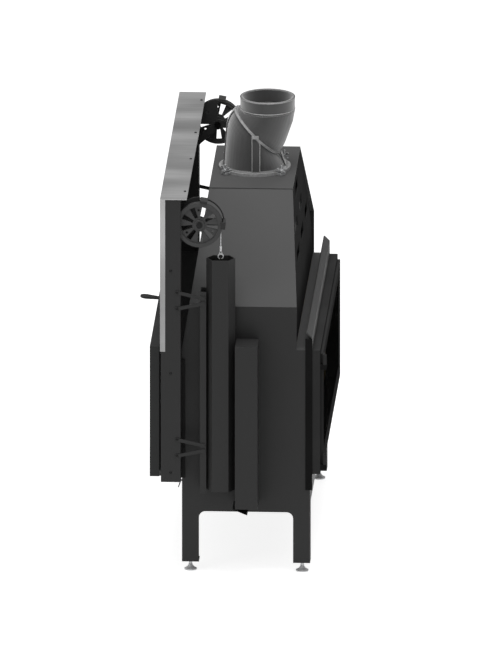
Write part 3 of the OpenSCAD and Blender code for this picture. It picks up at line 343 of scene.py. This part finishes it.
def graphite():
    """Graphite-filled glide blocks: grey-black, waxy, finely mottled."""
    material, tree, output, place = finish("graphite_filled_polymer")
    mottle = add(tree, "TexNoise", {}, {"Vector": place, "Scale": 1000 / 5.0, "Detail": 4.0})
    colour = ramp(tree, mottle.outputs["Fac"], [(0.35, "#2a2c2e"), (0.65, "#3c3f42")])
    height = add(tree, "Bump", {}, {
        "Strength": 0.15, "Distance": 0.2 * MM, "Height": mottle.outputs["Fac"]})
    shader = add(tree, "BsdfPrincipled", {}, {
        "Base Color": colour, "Roughness": 0.4, "Normal": height.outputs["Normal"]})
    tree.links.new(shader.outputs["BSDF"], output.inputs["Surface"])
    return material


# The turned rims and edges of the flue outlet, where the grey coat is thin: light grey, partly
# bare steel and partly a painted highlight where a reflection would be
rim_grey_painted_highlight = bare_metal("rim_steel_painted_highlight", ("#a0a0a0", "#b8b8b8"), 0.45, 8.0, 0.05, 0.25)
flue_grey = flue_enamel()
zinc_sheet = galvanised_sheet()
rope_steel = wire_rope()
firebrick = vermiculite()
glass = stove_glass()
rear_glass_painted_shade = shaded_rear_glass()
seal_rope = sealing_rope()
glide_graphite = graphite()

NODE_FINISHES = {
    casing_paint: """right_side_panel left_side_panel aprons base_plate hood_front
        guide_posts tube_uprights weight_tubes strut_brackets air_ducts air_lever
        pulley_brackets cable_guards""",
    pulley_paint: "right_pulley left_pulley",
    rear_paint: "rear_hinges edge_strips",
    # The dead matt coat in a lighter grey: painted light standing for the gleam at a graze
    rear_grey_painted_lighter: "hood_rear rear_surround rear_door_frame",
    door_paint: "door_frame door_handle",
    # The casing's paint, painted lighter on these parts: painted light from above
    hood_paint_painted_lighter: "hood_slopes hood_top door_carriages rear_ledge",
    # post_spacers: a dark bar in the darkest coat, standing for the shaded gap behind the surround
    # (painted shade)
    inner_paint: """firebox_floor smoke_dome front_surround post_spacers air_flaps""",
    black_zinc: "cover_screws pulley_axles",
    zinc_sheet: "mask",
    flue_grey: "flue_lower_elbow flue_straps flue_upper_elbow flue_collar",
    # Light grey on the rings: partly bare steel, partly a painted highlight
    rim_grey_painted_highlight: "flue_ring flue_joint_ring",
    dull_zinc: "ring_clamps",
    # Near-white zinc on the cable ends and feet: partly a painted reflection
    zinc_plate: """right_cable_end left_cable_end front_right_foot front_left_foot
        rear_right_foot rear_left_foot""",
    rope_steel: "cable_wraps rear_cables front_cables",
    cast_iron: "right_counterweight left_counterweight fire_grate",
    firebrick: "hearth_slabs side_linings baffle_plate",
    glass: "door_glass",
    # Rear pane: dark tint that is painted shade
    rear_glass_painted_shade: "rear_door_glass",
    seal_rope: "door_seal",
    glide_graphite: "carriage_glides",
}
for material, names in NODE_FINISHES.items():
    for name in names.split():
        slots = frame["nodes"][name].data.materials
        slots.clear()
        slots.append(material)


# ------------------------------------------------------------ made pieces

def piece(name, shape, material, body, replaced=()):
    """Turns a finished bmesh into a piece that rides on a body of the part."""
    mesh = bpy.data.meshes.new(name)
    shape.to_mesh(mesh)
    shape.free()
    mesh.materials.append(material)
    made = bpy.data.objects.new(name, mesh)
    scene.collection.objects.link(made)
    if body:
        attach(made, body)
    if replaced:
        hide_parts(*replaced)
    return made


CABLE_R = 2 * MM
CABLE_STEP = 30 * MM


def run_of_cable(shape, x, y, low, high):
    """One straight run of cable, in short steps so that it can stretch."""
    start = bmesh.ops.create_circle(shape, cap_ends=False, segments=12, radius=CABLE_R,
                                    matrix=Matrix.Translation((x, y, low)))
    edges = list({edge for vert in start["verts"] for edge in vert.link_edges})
    steps = max(2, round((high - low) / CABLE_STEP))
    for _ in range(steps):
        grown = bmesh.ops.extrude_edge_only(shape, edges=edges)["geom"]
        ring = [g for g in grown if isinstance(g, bmesh.types.BMVert)]
        bmesh.ops.translate(shape, verts=ring, vec=(0, 0, (high - low) / steps))
        top = max(v.co.z for v in ring)
        edges = [g for g in grown if isinstance(g, bmesh.types.BMEdge)
                 and min(v.co.z for v in g.verts) > top - 1e-5]
    bmesh.ops.recalc_face_normals(shape, faces=shape.faces[:])
    for face in shape.faces:
        face.smooth = True


front_low, front_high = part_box("front_cables")
lift_x = front_high.x - CABLE_R
front_y = (front_low.y + front_high.y) / 2
cables = bmesh.new()
for side in (-1, 1):
    run_of_cable(cables, side * lift_x, front_y, front_low.z, front_high.z)
front_runs = piece("front_cable_runs", cables, rope_steel, None, ["front_cables"])
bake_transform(front_runs)

rear_low, rear_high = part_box("rear_cables")
rear_y = (rear_low.y + rear_high.y) / 2
for side, weight in ((1, "right_weight"), (-1, "left_weight")):
    cable = bmesh.new()
    run_of_cable(cable, side * lift_x, rear_y, rear_low.z, rear_high.z)
    rear_run = piece(weight + "_cable_run", cable, rope_steel, None,
                     ["rear_cables"])
    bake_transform(rear_run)


def lathe(shape, outline, centre, steps=64):
    """Spins an outline of (radius, height) points round a vertical axis into a closed ring."""
    verts = [shape.verts.new(Vector(centre) + Vector((r, 0, z)) * MM) for r, z in outline]
    edges = [shape.edges.new((a, b)) for a, b in zip(verts, verts[1:] + verts[:1])]
    bmesh.ops.spin(shape, geom=verts + edges, cent=centre, axis=(0, 0, 1), angle=math.tau,
                   steps=steps, use_merge=True)
    bmesh.ops.remove_doubles(shape, verts=shape.verts[:], dist=1e-6)
    bmesh.ops.recalc_face_normals(shape, faces=shape.faces[:])


def box(shape, low, high, edge=0.0):
    """A block between two corners given in mm, with its edges softened."""
    made = bmesh.ops.create_cube(shape, size=1)["verts"]
    size = [(b - a) * MM for a, b in zip(low, high)]
    middle = [(a + b) / 2 * MM for a, b in zip(low, high)]
    bmesh.ops.scale(shape, verts=made, vec=size)
    bmesh.ops.translate(shape, verts=made, vec=middle)
    if edge:
        around = list({e for v in made for e in v.link_edges})
        grown = bmesh.ops.bevel(shape, geom=around, offset=edge * MM, affect="EDGES", segments=2,
                                profile=0.5, material=-1)
        made = list({v for f in grown["faces"] for v in f.verts} | {v for v in made if v.is_valid})
    return made


# Wing screws that hold the flue on its ring: a lug, a threaded pin and two ears
ring_low, ring_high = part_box("flue_ring")
ring_y = (ring_low.y + ring_high.y) / 2
SCREW_AT = 145.0
screw_axis = (SCREW_AT * MM, 0, 0)
EAR_KNEE, EAR_TIP, EAR_LEAN = 24.0, 30.0, 6.0
clamps = bmesh.new()
for quarter in range(4):
    new = box(clamps, (131.5, -13, 0.2), (155, 13, 9.0), 1.2)
    new += box(clamps, (120.5, -9, 12.7), (157, 9, 15.4), 0.8)
    start = set(clamps.verts)
    lathe(clamps, [(0.01, 0.2), (3.8, 0.2), (3.8, 16.2), (8.5, 16.2), (8.5, 18.0), (6.5, 21.5),
                   (3.4, 23.0), (3.4, 36.0), (2.4, 37.0), (0.01, 37.0)], screw_axis, 20)
    new += [v for v in clamps.verts if v not in start]
    for ear in (-1, 1):
        wing = box(clamps, (SCREW_AT - 2.1, 6, 18.5), (SCREW_AT + 2.1, 19, EAR_TIP), 1.4)
        for vert in wing:
            above = vert.co.z / MM - EAR_KNEE
            if above > 0:
                vert.co.y += EAR_LEAN * MM * above / (EAR_TIP - EAR_KNEE)
        if ear < 0:
            bmesh.ops.rotate(clamps, verts=wing, cent=screw_axis,
                             matrix=Matrix.Rotation(math.pi, 3, "Z"))
        new += wing
    bmesh.ops.rotate(clamps, verts=new, cent=(0, 0, 0),
                     matrix=Matrix.Rotation(math.radians(45 + 90 * quarter), 3, "Z"))
    bmesh.ops.translate(clamps, verts=new, vec=(0, ring_y, ring_low.z))
piece("flue_wing_screws", clamps, dull_zinc, "chassis", ["ring_clamps"])

# Rolled rim of the collar, and the bead at its foot
collar_low, collar_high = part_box("flue_collar")
collar_y = (collar_low.y + collar_high.y) / 2
rim = bmesh.new()
lathe(rim, [(91.0, -4.0), (100.2, -4.0), (100.9, -2.6), (101.0, -1.2), (100.0, 0.0), (98.0, 0.0),
            (95.0, -0.6), (92.0, -1.8), (90.6, -3.0)], (0, collar_y, collar_high.z), 96)
lathe(rim, [(99.8, 3.8), (101.4, 4.4), (101.6, 5.6), (101.2, 6.8), (99.8, 7.6)],
      (0, collar_y, collar_low.z), 96)
for face in rim.faces:
    face.smooth = True
# The rim and bead are drawn in the light grey that paints their highlight
piece("flue_collar_rim", rim, rim_grey_painted_highlight, "flue_upper")

# Threaded rods that hold the elbow's straps down, one each side of every side strap, and the
# small plate over the strap's head; the leaning joint's centre is on the strap's middle line
JOINT_Y, JOINT_Z = 72.0, 1497.0
ROD_X, ROD_R, ROD_SPREAD, ROD_SHORT = 116.4, 2.0, 14.2, 8.0
PLATE_X, PLATE_T = 117.8, 2.6
rods = bmesh.new()
for side in (-1, 1):
    for offset in (-ROD_SPREAD, ROD_SPREAD):
        foot = ring_high.z + 3 * MM
        height = JOINT_Z - offset - ROD_SHORT - foot / MM
        lathe(rods, [(0.01, 0), (ROD_R, 0), (ROD_R, height), (0.01, height)],
              (side * ROD_X * MM, (JOINT_Y + offset) * MM, foot), 14)
    inside, outside = sorted((side * PLATE_X, side * (PLATE_X + PLATE_T)))
    box(rods, (inside, JOINT_Y - 15, JOINT_Z - 3), (outside, JOINT_Y + 10, JOINT_Z + 10), 0.8)
# Rods and plates are drawn in the light grey that paints the highlight along the straps
piece("strap_edges", rods, rim_grey_painted_highlight, "flue_lower")


# ------------------------------------------------------- floor and lighting

def floor():
    """A wide white floor: camera, glossy and glass rays see it lifted to white, and it still
    takes the soft shadow of the object."""
    material, tree, output, _ = finish("studio_floor")
    ray = add(tree, "LightPath", {}, {})
    seen = add(tree, "Math", {"operation": "MAXIMUM"},
               {0: ray.outputs["Is Camera Ray"], 1: ray.outputs["Is Glossy Ray"]})
    seen_too = add(tree, "Math", {"operation": "MAXIMUM"},
                   {0: seen.outputs["Value"], 1: ray.outputs["Is Transmission Ray"]})
    matt = add(tree, "BsdfDiffuse", {}, {"Color": linear("#e2e2e2")})
    lift = add(tree, "Emission", {}, {"Color": (1, 1, 1, 1), "Strength": 0.78})
    nothing = add(tree, "Emission", {}, {"Strength": 0.0})
    glow = add(tree, "MixShader", {}, {
        0: seen_too.outputs["Value"], 1: nothing.outputs["Emission"], 2: lift.outputs["Emission"]})
    both = add(tree, "AddShader", {}, {0: matt.outputs["BSDF"], 1: glow.outputs["Shader"]})
    tree.links.new(both.outputs["Shader"], output.inputs["Surface"])
    shape = bmesh.new()
    bmesh.ops.create_grid(shape, x_segments=1, y_segments=1, size=14)
    mesh = bpy.data.meshes.new("studio_floor")
    shape.to_mesh(mesh)
    shape.free()
    mesh.materials.append(material)
    ground = bpy.data.objects.new("studio_floor", mesh)
    scene.collection.objects.link(ground)


def world():
    """Soft studio light, brighter from above, behind a white backdrop."""
    backdrop = bpy.data.worlds.new("studio")
    scene.world = backdrop
    backdrop.use_nodes = True
    tree = backdrop.node_tree
    tree.nodes.clear()
    output = add(tree, "OutputWorld", {}, {})
    ray = add(tree, "LightPath", {}, {})
    seen = add(tree, "Math", {"operation": "MAXIMUM"},
               {0: ray.outputs["Is Camera Ray"], 1: ray.outputs["Is Transmission Ray"]})
    towards = add(tree, "SeparateXYZ", {}, {0: add(tree, "TexCoord", {}, {}).outputs["Generated"]})
    shade = add(tree, "MapRange", {}, {
        "Value": towards.outputs["Z"], "From Min": -0.1, "From Max": 0.9,
        "To Min": 0.3, "To Max": 0.62})
    dim = add(tree, "MapRange", {}, {
        "Value": towards.outputs["Y"], "From Min": 0.1, "From Max": 0.7,
        "To Min": 1.0, "To Max": 0.55})
    power = add(tree, "Math", {"operation": "MULTIPLY"},
                {0: shade.outputs["Result"], 1: dim.outputs["Result"]})
    soft = add(tree, "Background", {}, {"Color": (1, 1, 1, 1), "Strength": power.outputs["Value"]})
    white = add(tree, "Background", {}, {"Color": (1, 1, 1, 1), "Strength": 1.0})
    both = add(tree, "MixShader", {}, {
        0: seen.outputs["Value"], 1: soft.outputs["Background"], 2: white.outputs["Background"]})
    tree.links.new(both.outputs["Shader"], output.inputs["Surface"])


def lamp(name, place, size, power):
    """A square soft box that points at the middle of the object."""
    light = bpy.data.lights.new(name, "AREA")
    light.shape = "SQUARE"
    light.size = size
    light.energy = power
    box = bpy.data.objects.new(name, light)
    scene.collection.objects.link(box)
    box.location = place
    box.rotation_euler = (Vector((0, 0, 0.8)) - Vector(place)).to_track_quat("-Z", "Y").to_euler()


floor()
world()
lamp("top_box", (0.9, 0.1, 4.9), 2.4, 92)
lamp("side_box", (3.5, -3.0, 2.6), 1.6, 8)
